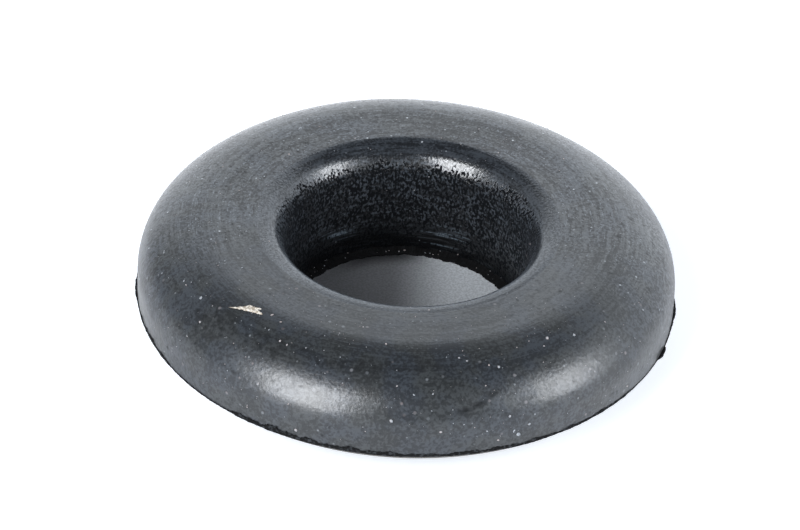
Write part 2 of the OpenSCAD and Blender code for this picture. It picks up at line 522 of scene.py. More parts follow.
# %% [markdown]
# ## Dust
#
# Dust lies on the ring as pale crumbs, most of them finer than a hair. A particle system could scatter them,
# but not put the few large ones where they lie. Those are placed one by one, by where they show in the
# camera's
# frame: a ray through that place finds the spot on the ring. The rest are scattered at random above the
# parting line, and some along the flash in the bore, where dust gathers. Each crumb is a squashed lump of a
# few faces, and all of them are one piece.

# %% Find a place on the ring
ring_faces = BVHTree.FromPolygons(
    body_points.tolist(), grid_faces(len(section), COLUMNS, capped=False).tolist())
# Faces whose normals point further down than this get no dust, and the lip and bore get this share of it.
LEAST_UPWARD, SHARE_INSIDE = -0.05, 0.4


def spots(places):
    """Points and outward normals of the ring where rays through places in the frame meet it."""
    points, outwards = [], []
    for place in places:
        reach_x = (place[0] - FRAME_W / 2) / FRAME_W * SENSOR_MM / LENS_MM
        reach_y = (FRAME_H / 2 - place[1]) / FRAME_W * SENSOR_MM / LENS_MM
        ray = (forward + right * reach_x + up * reach_y).normalized()
        point, normal, _, _ = ring_faces.ray_cast(eye, ray)
        points.append(np.array(point))
        outwards.append(np.array(normal))
    return np.array(points), np.array(outwards)


def scatter(count, dice):
    """Random points and normals above the flash, on faces that don't point down.

    The chance of a row is in proportion to its area, and all columns have the same.
    """
    area = np.linalg.norm(np.roll(section, -1, axis=0) - section, axis=1) * section[:, 0]
    upward = (normals[:, 1] > LEAST_UPWARD) & (section[:, 1] > PARTING_H)
    chance = area * upward * np.where(section[:, 0] < crease_r, SHARE_INSIDE, 1)
    row = dice.choice(len(section), count, p=chance / chance.sum())
    column = dice.integers(0, COLUMNS, count)
    points = body_points[row * COLUMNS + column]
    return points, revolve(normals[row, 0], normals[row, 1], around[0, column])


def crumb_sizes(smallest, steepness, largest, count, dice):
    """Random radii, many small and few large: smallest * (1 + a Pareto number), up to largest * smallest."""
    return smallest * (1 + dice.pareto(steepness, count)).clip(1, largest)


print(f"{len(body_points)} points to drop dust on")


# %% Lumps
SIDES, RINGS = 6, 4
SQUASH = 0.6


def lumps(centres, outwards, radii, dice):
    """Points of faceted lumps, shape (count, points of one, 3), each with its middle on a surface.

    A unit ball is (sin b cos a, sin b sin a, cos b). Each of its points moves in by up to a third or out by
    up to a fifth, each way through it is stretched by 0.6 to 1.25, and it is squashed along the surface's
    normal, turned to that and scaled by its radius. The points of a pole move together.
    """
    a, b = np.meshgrid(np.arange(SIDES) * 2 * np.pi / SIDES, np.linspace(0, np.pi, RINGS))
    ball = revolve(np.sin(b), np.cos(b), a).reshape(-1, 3)
    uneven = dice.uniform(0.67, 1.2, (len(centres), len(ball), 1))
    uneven[:, :SIDES], uneven[:, -SIDES:] = uneven[:, :1], uneven[:, -1:]
    shape = ball[None] * uneven * dice.uniform(0.6, 1.25, (len(centres), 1, 3)) * [1, 1, SQUASH]
    side = np.cross(outwards, dice.normal(size=outwards.shape))
    side /= np.linalg.norm(side, axis=1, keepdims=True)
    axes = np.stack([side, np.cross(outwards, side), outwards], axis=1)
    return centres[:, None] + radii[:, None, None] * (np.einsum("nki,nij->nkj", shape, axes))


print(f"{SIDES * RINGS} points in a lump")

# %% Crumbs above the parting line
# Places of the largest crumbs in the frame, and the radius at which each shows in mm
CRUMBS = [
    (184, 281, 0.07), (201, 298, 0.09), (200, 322, 0.07), (186, 285, 0.06), (272, 315, 0.08),
    (281, 322, 0.07), (280, 341, 0.09), (287, 345, 0.07), (258, 384, 0.09), (296, 430, 0.10),
    (267, 425, 0.09), (391, 421, 0.09), (429, 310, 0.06), (547, 338, 0.09), (574, 335, 0.10),
    (544, 346, 0.05), (467, 361, 0.06), (459, 358, 0.08), (489, 365, 0.08), (499, 367, 0.09),
    (659, 310, 0.08), (627, 386, 0.07), (441, 432, 0.10), (510, 416, 0.11), (518, 434, 0.12),
    (514, 431, 0.09), (529, 424, 0.08), (535, 414, 0.06), (301, 128, 0.06), (479, 129, 0.06),
    (519, 147, 0.06), (536, 138, 0.06), (461, 144, 0.05), (422, 142, 0.06), (487, 431, 0.07),
    (498, 440, 0.07), (397, 386, 0.06), (414, 395, 0.07), (433, 394, 0.06), (386, 344, 0.06)]
# A lump shows smaller than its radius, because its points move in and it is squashed.
SHRINKAGE = 1.35
FINE_CRUMBS, FINE_R = 900, 0.022

large_points, large_normals = spots(CRUMBS)
fine_points, fine_normals = scatter(FINE_CRUMBS, dice)
fine_radii = crumb_sizes(FINE_R, 3.2, 3, FINE_CRUMBS, dice)
crumb_radii = np.concatenate([[SHRINKAGE * crumb[2] for crumb in CRUMBS], fine_radii]) * MM
dust_points = lumps(
    np.vstack([large_points, fine_points]), np.vstack([large_normals, fine_normals]), crumb_radii, dice)
print(f"{len(CRUMBS)} crumbs placed by hand and {FINE_CRUMBS} at random")

# %% Crumbs along the flash in the bore
LEDGE_CRUMBS, LEDGE_CRUMB_R = 150, 0.036 * MM
# They lie this far in from the wall, in mm, at this height above the base.
LEDGE_NEAR, LEDGE_FAR = 0.02, 0.5
LEDGE_H = BORE_FLASH_T * 1.2
# Those in the corner, this close to the wall, may lie higher up on the wall, by up to so many mm.
CORNER, CORNER_H = 0.12 * MM, 0.3

ledge_turn = nick_dice.uniform(0, 2 * np.pi, LEDGE_CRUMBS)
ledge_in = nick_dice.uniform(LEDGE_NEAR, LEDGE_FAR, LEDGE_CRUMBS) * MM
ledge_z = LEDGE_H + nick_dice.uniform(0, CORNER_H, LEDGE_CRUMBS) * MM * (ledge_in < CORNER)
ledge_centres = revolve(BORE_R - ledge_in, ledge_z, ledge_turn)
ledge_radii = crumb_sizes(LEDGE_CRUMB_R, 3, 2.2, LEDGE_CRUMBS, nick_dice)
upwards = np.tile([0.0, 0.0, 1.0], (LEDGE_CRUMBS, 1))
dust_points = np.vstack([dust_points, lumps(ledge_centres, upwards, ledge_radii, nick_dice)])

first_point = np.arange(len(dust_points)) * RINGS * SIDES
dust_faces = grid_faces(RINGS, SIDES, capped=True)[None] + first_point[:, None, None]
dust_mesh = new_mesh("dust", dust_points, dust_faces.reshape(-1, 4))
close_mesh(dust_mesh)
dust = put_in_scene("dust", dust_mesh)
print(f"dust: {len(dust_points)} crumbs, {len(dust_mesh.polygons)} faces")

# %% [markdown]
# ## A chip of straw
#
# A splinter of straw has stuck to the near left shoulder. It could be a bent box, but a splinter thins out to
# nothing. So it is a flat oval carried along a path on the ring, narrower and wider by chance. Two such
# slivers lie side by side, which gives it its fork.


# %% Straw chip
def sliver(name, places, widths, thickness, dice):
    """A thin splinter that follows the ring through places in the frame, with its half width in mm at each.

    Its section is a flat oval, (width cos a, thickness (0.7 + sin a)), which narrows to a point at both ends.
    Along its length the width varies by up to a quarter and the thickness by up to 0.3 of it, by chance.
    """
    steps, sides = 48, 16
    ends = np.linspace(0, len(places) - 1, steps)
    stations = range(len(places))
    path = np.stack([np.interp(ends, stations, [place[i] for place in places]) for i in (0, 1)], axis=-1)
    centre, outwards = spots(path)
    across = np.cross(outwards, np.gradient(centre, axis=0))
    across /= np.linalg.norm(across, axis=1, keepdims=True)
    width = np.interp(ends, stations, widths) * MM * (1 + 0.25 * dice.uniform(-1, 1, steps))
    width[[0, -1]] = 0
    lift = thickness * (1 + 0.3 * dice.uniform(-1, 1, steps)) * np.minimum(1, width / width.max() * 2)
    a = np.linspace(0, 2 * np.pi, sides, endpoint=False)[None, :, None]
    points = (centre[:, None] + across[:, None] * width[:, None, None] * np.cos(a)
              + outwards[:, None] * lift[:, None, None] * (0.7 + np.sin(a)))
    return grid_piece(name, points, capped=True)


CHIP_T = 0.05 * MM
CHIP_LENGTHWISE = [(228.5, 307.2), (238, 308), (247, 308.8), (255, 311), (262.5, 314.6)]
CHIP_FORK = [(243, 308), (249, 306.8), (255, 308.8), (261.5, 309.2)]
chip = sliver("straw_chip", CHIP_LENGTHWISE, [0, 0.09, 0.2, 0.2, 0.05], CHIP_T, dice)
chip_fork = sliver("straw_chip_fork", CHIP_FORK, [0, 0.14, 0.12, 0.04], CHIP_T, dice)

# %% [markdown]
# ## Nodes by a plain word
#
# A finish is a tree of shader nodes. Each could be added by hand in the Shader Editor, but a tree in code can
# be read from top to bottom. One table says what each word stands for, and one function adds any of them, so
# a line of a finish names only what it does and to what.

# %% Words for nodes
MATH, VECTOR_MATH, MIX = "ShaderNodeMath", "ShaderNodeVectorMath", "ShaderNodeMix"
# Word: type of node, its settings, its inputs in the order in which they are given, the output that is meant
NODES = {
    "place": ("ShaderNodeTexCoord", {}, (), "Object"),
    "direction": ("ShaderNodeTexCoord", {}, (), "Generated"),
    "zone": ("ShaderNodeAttribute", {}, (), "Fac"),
    "camera ray": ("ShaderNodeLightPath", {}, (), "Is Camera Ray"),
    "noise": ("ShaderNodeTexNoise", {}, ("Vector", "Scale", "Detail"), "Fac"),
    "cells": ("ShaderNodeTexVoronoi", {}, ("Vector", "Scale"), None),
    "ease": ("ShaderNodeMapRange", {"interpolation_type": "SMOOTHSTEP"},
             ("Value", "From Min", "From Max", "To Min", "To Max"), "Result"),
    "mix": (MIX, {"data_type": "FLOAT"}, (0, 2, 3), 0),
    "blend": (MIX, {"data_type": "RGBA"}, (0, 6, 7), 2),
    "times": (MATH, {"operation": "MULTIPLY"}, (0, 1), 0),
    "times and plus": (MATH, {"operation": "MULTIPLY_ADD"}, (0, 1, 2), 0),
    "minus": (MATH, {"operation": "SUBTRACT"}, (0, 1), 0),
    "divided by": (MATH, {"operation": "DIVIDE"}, (0, 1), 0),
    "absolute": (MATH, {"operation": "ABSOLUTE"}, (0,), 0),
    "larger": (MATH, {"operation": "MAXIMUM"}, (0, 1), 0),
    "vector times": (VECTOR_MATH, {"operation": "MULTIPLY"}, (0, 1), 0),
    "vector plus": (VECTOR_MATH, {"operation": "ADD"}, (0, 1), 0),
    "vector scaled": (VECTOR_MATH, {"operation": "SCALE"}, (0, "Scale"), 0),
    "unit vector": (VECTOR_MATH, {"operation": "NORMALIZE"}, (0,), 0),
    "length": (VECTOR_MATH, {"operation": "LENGTH"}, (0,), "Value"),
    "dot product": (VECTOR_MATH, {"operation": "DOT_PRODUCT"}, (0, 1), "Value"),
    "parts": ("ShaderNodeSeparateXYZ", {}, (0,), None),
    "vector along z": ("ShaderNodeCombineXYZ", {}, ("Z",), 0),
    "red": ("ShaderNodeSeparateColor", {}, (0,), 0),
    "bump": ("ShaderNodeBump", {}, ("Height", "Distance", "Normal"), "Normal"),
    "principled": ("ShaderNodeBsdfPrincipled", {}, (), 0),
    "glow": ("ShaderNodeEmission", {}, ("Color", "Strength"), 0),
    "background": ("ShaderNodeBackground", {}, ("Color", "Strength"), 0),
    "both shaders": ("ShaderNodeAddShader", {}, (0, 1), 0),
    "shader between": ("ShaderNodeMixShader", {}, (0, 1, 2), 0),
    "surface": ("ShaderNodeOutputMaterial", {}, ("Surface",), None),
    "world": ("ShaderNodeOutputWorld", {}, ("Surface",), None),
}
print(f"{len(NODES)} words for nodes")


# %% Trees of nodes
def linear(hex_colour):
    """sRGB hex to linear RGBA: each channel c becomes ((c + 0.055) / 1.055) ^ 2.4, or c / 12.92 if dark."""
    channels = np.array([int(hex_colour[i:i + 2], 16) / 255 for i in (1, 3, 5)])
    straightened = np.where(channels > 0.04045, ((channels + 0.055) / 1.055) ** 2.4, channels / 12.92)
    return (*straightened.tolist(), 1.0)


def add(tree, word, *values, inputs=None, **settings):
    """Adds the node that a word stands for, and gives the output that is meant, or else the node itself.

    Each value is a number, a vector, a hex colour or a socket to link from. Values go to the word's inputs in
    their order, and inputs gives values by the name of a socket.
    """
    kind, fixed, order, meant = NODES[word]
    made = tree.nodes.new(kind)
    for key, value in {**fixed, **settings}.items():
        setattr(made, key, value)
    for key, value in {**dict(zip(order, values)), **(inputs or {})}.items():
        if isinstance(value, bpy.types.NodeSocket):
            tree.links.new(value, made.inputs[key])
        else:
            made.inputs[key].default_value = linear(value) if isinstance(value, str) else value
    return made if meant is None else made.outputs[meant]


def empty_tree(owner):
    """The node tree of a material or a world, with nothing in it."""
    owner.use_nodes = True
    owner.node_tree.nodes.clear()
    return owner.node_tree


def weighted_sum(tree, *parts):
    """Sum of value * weight over pairs of the two."""
    total = 0.0
    for value, weight in parts:
        total = add(tree, "times and plus", value, weight, total)
    return total


print("mid grey #808080 is", round(linear("#808080")[0], 3), "of white")

# %% [markdown]
# ## Patterns on rubber
#
# The marks of the mould run round the ring. They could come from an image wrapped round it, but noise has no
# seam and no end. It is read in turned coordinates: the direction from the axis, stretched little, and the
# distance out and down, stretched much. Pits in the bore are taller than wide, so their coordinates are
# squeezed along Z. Loose powder shows as round flecks, which are the middles of Voronoi cells.


# %% Turned, upright and flecked
STREAK_R = 14 * MM
PIT_SQUEEZE = 0.65


def turned_space(tree, arc_length, ring_gap):
    """Coordinates in which noise of scale 1 makes streaks around the axis.

    They are (x, y, 0) / r * 14 mm / arc_length + (0, 0, (|r - crease| - z) / ring_gap). A streak is about
    arc_length long at a radius of 14 mm, and ring_gap wide. The last term grows all the way down both sides
    of the crease.
    """
    place = add(tree, "place")
    flat = add(tree, "vector times", place, (1, 1, 0))
    from_crease = add(tree, "absolute", add(tree, "minus", add(tree, "length", flat), crease_r))
    out_and_down = add(tree, "minus", from_crease, add(tree, "parts", place).outputs["Z"])
    rise = add(tree, "vector along z", add(tree, "divided by", out_and_down, ring_gap))
    spread = add(tree, "vector scaled", add(tree, "unit vector", flat), STREAK_R / arc_length)
    return add(tree, "vector plus", spread, rise)


def upright_space(tree, size):
    """Coordinates (x, y, 0.65 z) / size, in which noise of scale 1 has cells half as tall again as wide."""
    return add(tree, "vector times", add(tree, "place"), (1 / size, 1 / size, PIT_SQUEEZE / size))


def flecks(tree, size, radius, share):
    """Round flecks, 0 to 1, some fainter than others, in a share of the cells of a Voronoi pattern.

    Each is full out to 0.6 of its radius, and gone at 1.3 of it.
    """
    cells = add(tree, "cells", add(tree, "place"), 1 / size)
    dot = add(tree, "ease", cells.outputs["Distance"], 0.6 * radius / size, 1.3 * radius / size, 1.0, 0.0)
    brightness = add(tree, "ease", add(tree, "red", cells.outputs["Color"]), 0.0, share, 1.0, 0.0)
    return add(tree, "times", dot, brightness)


print(f"a streak has its full length at a radius of {STREAK_R / MM:.0f} mm")

# %% [markdown]
# ## Moulded nitrile rubber
#
# The rubber is nitrile filled with carbon black, pressed against a turned steel mould. It is nearly black,
# but waxes and fine powder come to its surface as a grey bloom. The bloom could be a paler colour only, but
# then the ring would look like grey plastic. Here it is a skin as well: a coat of wax, whose weight follows
# the marks and falls to nothing in a pit or where the rubber is torn, and a little sheen for the powder.
# Outside, the skin is thick and rough, so the shoulder has broad soft highlights. The lip and the bore keep
# less of it: they are blacker and glossier, and covered with small pits.

# %% Rubber and its skin
# Carbon black swallows nearly all light, so bare rubber mirrors little, and the shine is that of the skin.
# Wax has an IOR of about 1.45. The skin has more, 1.6 outside and 1.8 inside, so that its highlights are as
# bright as those of the real ring.
NITRILE_IOR, NITRILE_SPECULAR = 1.52, 0.12
SMOOTH, MATT = 0.38, 0.9
POWDER_ROUGHNESS = 0.4
PIT_BLACK = "#040609"


def rubber_shader(tree, colour, bare, skin, relief, skin_roughness, skin_ior, powder, powder_tint):
    """Near-black rubber under a waxy skin. Where bare is 1 it has no skin and is fully matt."""
    return add(tree, "principled", inputs={
        "Base Color": add(tree, "blend", bare, colour, PIT_BLACK),
        "Roughness": add(tree, "mix", bare, SMOOTH, MATT), "IOR": NITRILE_IOR,
        "Specular IOR Level": NITRILE_SPECULAR,
        "Coat Weight": add(tree, "times", skin, add(tree, "mix", bare, 1.0, 0.0)),
        "Coat Roughness": skin_roughness, "Coat IOR": skin_ior,
        "Normal": relief, "Coat Normal": relief,
        "Sheen Weight": powder, "Sheen Roughness": POWDER_ROUGHNESS, "Sheen Tint": powder_tint})


print(f"bare rubber: IOR {NITRILE_IOR}, roughness {SMOOTH} where moulded and {MATT} in a pit")

# %% Noise and colour of the outside
# Sizes of the patches and tints of the bloom, the orange peel, the pits, the mottle, the grain and the grit.
# The powder of a bloom is finer than a hundredth of a millimetre, which is too fine to show, so its grain and
# grit are drawn as coarse as they need to be.
PATCH, TINT, PEEL, OUTER_PIT = 3.5 * MM, 2.6 * MM, 0.7 * MM, 0.5 * MM
MOTTLE, GRAIN, GRIT = 0.3 * MM, 0.24 * MM, 0.15 * MM
# Marks that run round the ring: length and the gap between them
STREAK, HAIRLINE, SCRATCH = (8 * MM, 0.35 * MM), (1.6 * MM, 0.12 * MM), (1.2 * MM, 0.12 * MM)
# Flecks: size of a cell, radius of a fleck, share of the cells that have one
SPECK, CRUMB = (0.55 * MM, 0.08 * MM, 0.25), (0.85 * MM, 0.12 * MM, 0.6)


def outer_noise(tree, turned):
    """Noises of the outside by name. The marks and lines run round the ring where its mould was turned."""
    place = add(tree, "place")
    found = {
        name: add(tree, "noise", place, 1 / size, detail) for name, size, detail in (
            ("patches", PATCH, 3), ("tints", TINT, 3), ("peel", PEEL, 2), ("pits", OUTER_PIT, 3),
            ("mottle", MOTTLE, 2), ("grain", GRAIN, 3), ("grit", GRIT, 2))}
    # Streaks of a few millimetres, and hairlines among them
    streaks = add(tree, "noise", turned_space(tree, *STREAK), 1, 4)
    hairlines = add(tree, "noise", turned_space(tree, *HAIRLINE), 1, 3)
    found["marks"] = add(tree, "mix", turned, found["peel"], streaks)
    found["lines"] = add(tree, "mix", turned, found["grain"], hairlines)
    return found


def outer_colour(tree, noises, bloom, far, turned):
    """Near-black rubber to grey bloom, with scratches, specks of powder and dull crumbs."""
    tint = add(tree, "ease", noises["tints"], 0.42, 0.58)
    thin = add(tree, "blend", tint, "#0e1014", "#0f1112")
    thick = add(tree, "blend", tint, "#353a40", "#36393b")
    colour = add(tree, "blend", bloom, thin, thick)

    # Fine grey scratches on the far top, broken up by grit
    scratches = add(tree, "noise", turned_space(tree, *SCRATCH), 1, 3)
    scratches = add(tree, "times", add(tree, "ease", scratches, 0.54, 0.7), turned)
    broken = add(tree, "times", far, add(tree, "ease", noises["grit"], 0.4, 0.7))
    colour = add(tree, "blend", add(tree, "times", scratches, broken), colour, "#666c73")

    # Specks of powder, clearest on the far side, and larger dull crumbs, clearest on the near one
    powder = add(tree, "times", flecks(tree, *SPECK), add(tree, "mix", far, 0.25, 0.9))
    colour = add(tree, "blend", powder, colour, "#b4b9be")
    crumbs = add(tree, "times", flecks(tree, *CRUMB), add(tree, "mix", far, 0.8, 0.2))
    return add(tree, "blend", crumbs, colour, add(tree, "blend", tint, "#6a6364", "#62666a"))


print(f"grain of {GRAIN / MM:.2f} mm and grit of {GRIT / MM:.2f} mm")


# %% Bloomed rubber, outside
def bloomed_rubber():
    """The outside: nitrile rubber with carbon black, dulled and greyed by bloom, with turned marks on top."""
    made = bpy.data.materials.new("bloomed_nitrile_rubber")
    tree = empty_tree(made)
    far, turned, right_side, worn, smeared, under = (
        add(tree, "zone", attribute_name=name)
        for name in ("far", "turned", "right", "pitted", "smeared", "under"))
    noises = outer_noise(tree, turned)
    marks, lines, patches, grain = (noises[name] for name in ("marks", "lines", "patches", "grain"))

    # Bloom: grey wax and powder, thick in some places and thin in others. It is more even on the near side.
    layers = weighted_sum(
        tree, (marks, 0.22), (lines, 0.15), (patches, 0.15), (grain, 0.26), (noises["grit"], 0.22))
    uneven = add(tree, "mix", far, 0.5, 1.0)
    bloom = add(tree, "mix", uneven, 0.5, add(tree, "ease", layers, 0.45, 0.55))

    # Pits: very few, but some in the worn places. Smears are bare too, and so is the underside, whose bare
    # black is painted shade.
    eased = weighted_sum(tree, (noises["pits"], 1), (worn, 0.2), (patches, 0.15))
    pits = add(tree, "ease", eased, 0.66, 0.88, 0.0, 0.55)
    bare = add(tree, "larger", add(tree, "larger", pits, add(tree, "times", smeared, 0.8)), under)

    # The skin follows the bloom, with a mottle that is stronger on the far side, and is thicker on the right.
    mottle = add(
        tree, "ease", noises["mottle"], 0.35, 0.65,
        add(tree, "mix", far, 0.93, 0.84), add(tree, "mix", far, 1.07, 1.16))
    skin = add(tree, "times", add(tree, "mix", bloom, 0.8, 1.1), mottle)
    skin = add(tree, "times", skin, add(tree, "mix", add(tree, "times", turned, right_side), 1.0, 1.13))

    relief = add(tree, "bump", weighted_sum(tree, (marks, 0.5), (lines, 0.5)), 0.012 * MM)
    relief = add(tree, "bump", grain, 0.01 * MM, relief)
    colour = outer_colour(tree, noises, bloom, far, turned)
    add(tree, "surface", rubber_shader(
        tree, colour, bare, skin, relief, skin_roughness=0.26, skin_ior=1.6, powder=0.25,
        powder_tint="#fffaf4"))
    return made


outer_rubber = bloomed_rubber()
print(f"{outer_rubber.name}: {len(outer_rubber.node_tree.nodes)} nodes")

# %% Colour inside the crease
# Scores, streaks and scratches inside: length and the gap between them. Flecks: cell, radius and share.
SCORE, INNER_STREAK, INNER_SCRATCH = (6 * MM, 0.13 * MM), (4 * MM, 0.2 * MM), (3 * MM, 0.12 * MM)
INNER_SPECK = (0.4 * MM, 0.05 * MM, 0.2)


def inner_colour(tree, grit, clusters, scratches, wall, foot, rim_scuff_and_highlight, glinting_scores):
    """Near-black to grey on the lip and upper wall; black near its foot as painted shade; painted glints on
    scores; specks.
    """
    # Upper wall and lip, grey and grainy; near its foot the wall is black, which is painted shade, with
    # scratches around it.
    streaks = add(tree, "noise", turned_space(tree, *INNER_STREAK), 1, 3)
    layers = weighted_sum(tree, (grit, 0.4), (streaks, 0.35), (clusters, 0.25))
    dark = add(tree, "blend", wall, "#16181b", "#0b0c0e")
    grey = add(tree, "blend", wall, "#32363b", "#3b4046")
    colour = add(tree, "blend", add(tree, "ease", layers, 0.43, 0.59), dark, grey)
    low = add(tree, "blend", scratches, "#040405", "#1b1e21")
    colour = add(tree, "blend", foot, colour, low)

    # Painted glints on the scores around the wall, and the paler rim, partly scuffed and partly a painted
    # highlight, both broken up by grit, and specks of powder
    broken = add(tree, "ease", grit, 0.35, 0.6, 0.3, 1.0)
    scores = add(tree, "noise", turned_space(tree, *SCORE), 1, 3)
    scores = add(tree, "times", add(tree, "ease", scores, 0.52, 0.62), broken)
    colour = add(tree, "blend", add(tree, "times", scores, glinting_scores), colour, "#6a7680")
    # The rim's paler colour is partly scuffed bloom and partly a painted highlight.
    colour = add(tree, "blend", add(tree, "times", rim_scuff_and_highlight, broken), colour, "#4e545a")
    powder = add(tree, "times", flecks(tree, *INNER_SPECK), 0.7)
    return add(tree, "blend", powder, colour, "#858a90")


print(f"scores {SCORE[0] / MM:.0f} mm long and {SCORE[1] / MM:.2f} mm apart")

# %% Pitted rubber, inside the crease
# Sizes of the clusters of pits and of the pits
CLUSTER, INNER_PIT = 1.4 * MM, 0.17 * MM


def pitted_rubber():
    """The lip and the bore: the same rubber with little bloom, so it is blacker and glossier, and pitted."""
    made = bpy.data.materials.new("pitted_nitrile_rubber")
    tree = empty_tree(made)
    place = add(tree, "place")
    wall, foot, rim_scuff_and_highlight, glinting_scores, dull, worn = (
        add(tree, "zone", attribute_name=name)
        for name in ("wall", "foot", "rim_scuff_and_highlight", "glinting_scores", "dull", "pitted_inside"))
    grain = add(tree, "noise", place, 1 / GRAIN, 3)
    grit = add(tree, "noise", upright_space(tree, GRIT), 1, 3)
    clusters = add(tree, "noise", place, 1 / CLUSTER, 2)
    scratches = add(tree, "noise", turned_space(tree, *INNER_SCRATCH), 1, 3)
    scratches = add(tree, "ease", scratches, 0.52, 0.66)

    # Pits: many on the wall and in the worn places, in clusters, and fewer where the wall has scores
    rough = add(tree, "larger", wall, worn)
    holes = add(tree, "noise", upright_space(tree, INNER_PIT), 1, 4)
    eased = weighted_sum(tree, (holes, 1), (rough, 0.3), (foot, -0.04), (clusters, 0.2), (glinting_scores, -0.12))
    pits = add(tree, "ease", eased, 0.83, 0.93)

    # The skin glints grain by grain. It is thinner on the wall, and on the dull line of the near right lip.
    # At the foot of the wall only the scratches have it.
    glints = add(tree, "ease", grit, 0.35, 0.65, 0.7, 1.3)
    glints = add(tree, "times", glints, add(tree, "mix", wall, 1.0, 0.6))
    skin = add(tree, "mix", foot, glints, add(tree, "times", scratches, 0.7))
    skin = add(tree, "times", skin, add(tree, "mix", dull, 1.0, 0.35))

    relief = add(tree, "bump", grit, 0.015 * MM)
    relief = add(tree, "bump", grain, 0.015 * MM, relief)
    relief = add(tree, "bump", pits, -0.015 * MM, relief)
    colour = inner_colour(tree, grit, clusters, scratches, wall, foot, rim_scuff_and_highlight, glinting_scores)
    add(tree, "surface", rubber_shader(
        tree, colour, pits, skin, relief, skin_roughness=0.12, skin_ior=1.8, powder=0.05,
        powder_tint="#e4eeff"))
    return made


inner_rubber = pitted_rubber()
print(f"{inner_rubber.name}: {len(inner_rubber.node_tree.nodes)} nodes")

# %% [markdown]
# ## Torn rubber, dust and straw
#
# Freshly torn rubber has no skin and no bloom, so it is blacker than the rest, and rough enough to shine
# nowhere. Chalky dust is pale and matt. Dry straw is cream, with browner patches. Each could be one flat
# colour at this size, but a close view would show that, so the colour of each varies.


# %% Torn rubber
TORN_CRUMB = 0.25 * MM


def torn_rubber(name, crumb_colour):
    """Nitrile rubber where it was torn: matt black, with paler crumbs."""
    made = bpy.data.materials.new(name)
    tree = empty_tree(made)
    crumbs = add(tree, "noise", add(tree, "place"), 1 / TORN_CRUMB, 3)
    colour = add(tree, "blend", add(tree, "ease", crumbs, 0.5, 0.66), "#050506", crumb_colour)
    add(tree, "surface", add(tree, "principled", inputs={
        "Base Color": colour, "Roughness": 0.85, "IOR": NITRILE_IOR, "Specular IOR Level": 0.2,
        "Normal": add(tree, "bump", crumbs, 0.05 * MM)}))
    return made


torn = torn_rubber("torn_nitrile_rubber", "#2f3134")
thin_torn = torn_rubber("thin_torn_nitrile_rubber", "#0f1012")
print(f"{torn.name} for the thick flash, {thin_torn.name} for the thin one")


# %% Dust and straw
DUST_TINT, STRAW_PATCH = 0.8 * MM, 0.18 * MM


def mineral_dust():
    """Chalky dust: pale grey crumbs, matt, some of them brownish."""
    made = bpy.data.materials.new("chalk_dust")
    tree = empty_tree(made)
    tint = add(tree, "ease", add(tree, "noise", add(tree, "place"), 1 / DUST_TINT, 1), 0.4, 0.6)
    add(tree, "surface", add(tree, "principled", inputs={
        "Base Color": add(tree, "blend", tint, "#8b8f94", "#9a918f"), "Roughness": 0.9, "IOR": 1.5}))
    return made


def dry_straw():
    """Dry straw: cream, with browner patches, matt and a little rough."""
    made = bpy.data.materials.new("dry_straw")
    tree = empty_tree(made)
    patches = add(tree, "noise", add(tree, "place"), 1 / STRAW_PATCH, 3)
    add(tree, "surface", add(tree, "principled", inputs={
        "Base Color": add(tree, "blend", add(tree, "ease", patches, 0.4, 0.62), "#978b7c", "#d2ccc2"),
        "Roughness": 0.7, "IOR": 1.45, "Normal": add(tree, "bump", patches, 0.03 * MM)}))
    return made


chalk, straw = mineral_dust(), dry_straw()
print(f"{chalk.name} and {straw.name}")


# %% Give each piece its finish
def finish_piece(piece, finish):
    """Gives a piece its material and lets it ride on the one body."""
    piece.data.materials.append(finish)
    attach(piece, "root")


for piece, finish in (
        (body, outer_rubber), (parting_flash, torn), (bore_flash, thin_torn), (dust, chalk),
        (chip, straw), (chip_fork, straw)):
    finish_piece(piece, finish)
body.data.materials.append(inner_rubber)
for piece in (body, parting_flash, bore_flash):
    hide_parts("grommet")
print("materials:", sorted(m.name for m in bpy.data.materials))

# %% [markdown]
# ## White paper
#
# The ring stands on white paper. An empty white world would do as a background, but then the ring would have
# no shadow to stand in. The paper away from the ring glows a little for the camera only, so that it is white
# and puts no more light on the ring. What shows of it through the bore is painted darker, as painted shade,
# because little light reaches it there, and least of all on the left and at the far left edge, where a
# painted soft shadow lies.

# %% Floor
FLOOR_HALF = 1.5
# The paper lies this much lower than the base, because two faces in one place would show at random.
FLOOR_BELOW = 0.02 * MM
floor_corners = np.array([(x, y, 0) for x, y in ((-1, -1), (1, -1), (1, 1), (-1, 1))]) * FLOOR_HALF
floor_mesh = new_mesh("paper_floor", floor_corners - (0, 0, FLOOR_BELOW), np.array([(0, 1, 2, 3)]))
floor = put_in_scene("paper_floor", floor_mesh)
print(f"paper {2 * FLOOR_HALF:.0f} m square")


# %% White paper
PAPER_GRAIN = 0.16 * MM
# Sideways from the axis: where the painted shade on the left of the bore turns pale, and both ends of the
# painted soft shadow
DARK_TO_PALE, SHADOW_LEFT, SHADOW_RIGHT = (-1.5 * MM, 4 * MM), (-6 * MM, -3 * MM), (-0.5 * MM, 2 * MM)
# Away from the camera, and out from the axis: where that painted shadow sets in
SHADOW_AWAY, SHADOW_OUT = (2 * MM, 6 * MM), (6.5 * MM, 8.1 * MM)
# Out from the axis: where the paper outside sets in, under the ring, and where its glow does
OUTSIDE, GLOWING = (9 * MM, 10 * MM), (10 * MM, 15 * MM)


